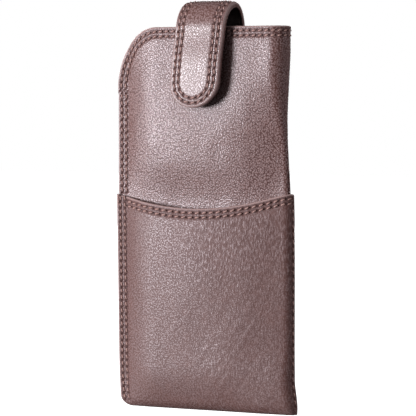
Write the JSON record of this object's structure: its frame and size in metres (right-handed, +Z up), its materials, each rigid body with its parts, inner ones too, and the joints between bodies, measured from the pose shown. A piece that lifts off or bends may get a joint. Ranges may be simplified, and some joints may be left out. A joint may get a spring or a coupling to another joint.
{
  "type": "soft glasses case",
  "caption": "Upright soft leather pouch case for folded spectacles, with a slip pocket on its front and a strap that snaps over the mouth.",
  "frame": {"origin": "middle of the bounding box's foot; the case stands on its foot at z = 0", "axes": "+Z up towards the mouth, -Y the front with the slip pocket and the strap's tab, +X the folded side, -X the sewn side"},
  "size_m": [0.0888, 0.0264, 0.1877],
  "materials": {
    "leather": "pearl-finished mauve taupe cowhide with a fine pebble grain",
    "facing_leather": "thin split leather of the same colour, matt",
    "strap_lining": "near-black brown leather lining",
    "lining_cloth": "dark brown woven lining",
    "padding": "thin foam-backed padding",
    "board": "bonded leather board",
    "thread": "rose-brown bonded sewing thread",
    "snap_metal": "nickel-plated pressed steel"
  },
  "bodies": {
    "case": {"outer_wrap": "leather", "mouth_facing": "facing_leather", "front_padding": "padding", "back_padding": "padding", "body_lining": "lining_cloth", "pocket_panel": "leather", "pocket_lining": "lining_cloth", "mouth_thread_outer": "thread", "mouth_thread_inner": "thread", "seam_thread_front_outer": "thread", "seam_thread_front_inner": "thread", "seam_thread_back_outer": "thread", "seam_thread_back_inner": "thread", "pocket_hem_thread_upper": "thread", "pocket_hem_thread_lower": "thread", "pocket_side_thread": "thread", "pocket_bartack": "thread", "snap_stud": "snap_metal", "snap_stud_washer": "snap_metal", "snap_stud_patch": "board", "strap_anchor_outer": "leather", "strap_anchor_core": "board", "strap_anchor_lining": "strap_lining", "strap_anchor_thread_outer": "thread", "strap_anchor_thread_inner": "thread"},
    "strap_loop": {"strap_loop_outer": "leather", "strap_loop_core": "board", "strap_loop_lining": "strap_lining", "strap_loop_thread_left_outer": "thread", "strap_loop_thread_left_inner": "thread", "strap_loop_thread_right_outer": "thread", "strap_loop_thread_right_inner": "thread"},
    "strap_tab": {"strap_tab_outer": "leather", "strap_tab_core": "board", "strap_tab_lining": "strap_lining", "strap_tab_thread_outer": "thread", "strap_tab_thread_inner": "thread", "snap_socket": "snap_metal", "snap_magnet": "snap_metal", "snap_socket_washer": "snap_metal"}
  },
  "joints": [
    {"name": "strap_swing", "type": "hinge", "parent": "case", "child": "strap_loop", "pos_m": [0.00485, 0.01065, 0.174], "axis": [-1, 0, 0], "range_deg": [0, 100]},
    {"name": "tab_peel", "type": "hinge", "parent": "strap_loop", "child": "strap_tab", "pos_m": [0.00485, -0.01065, 0.174], "axis": [-1, 0, 0], "range_deg": [0, 90]}
  ]
}
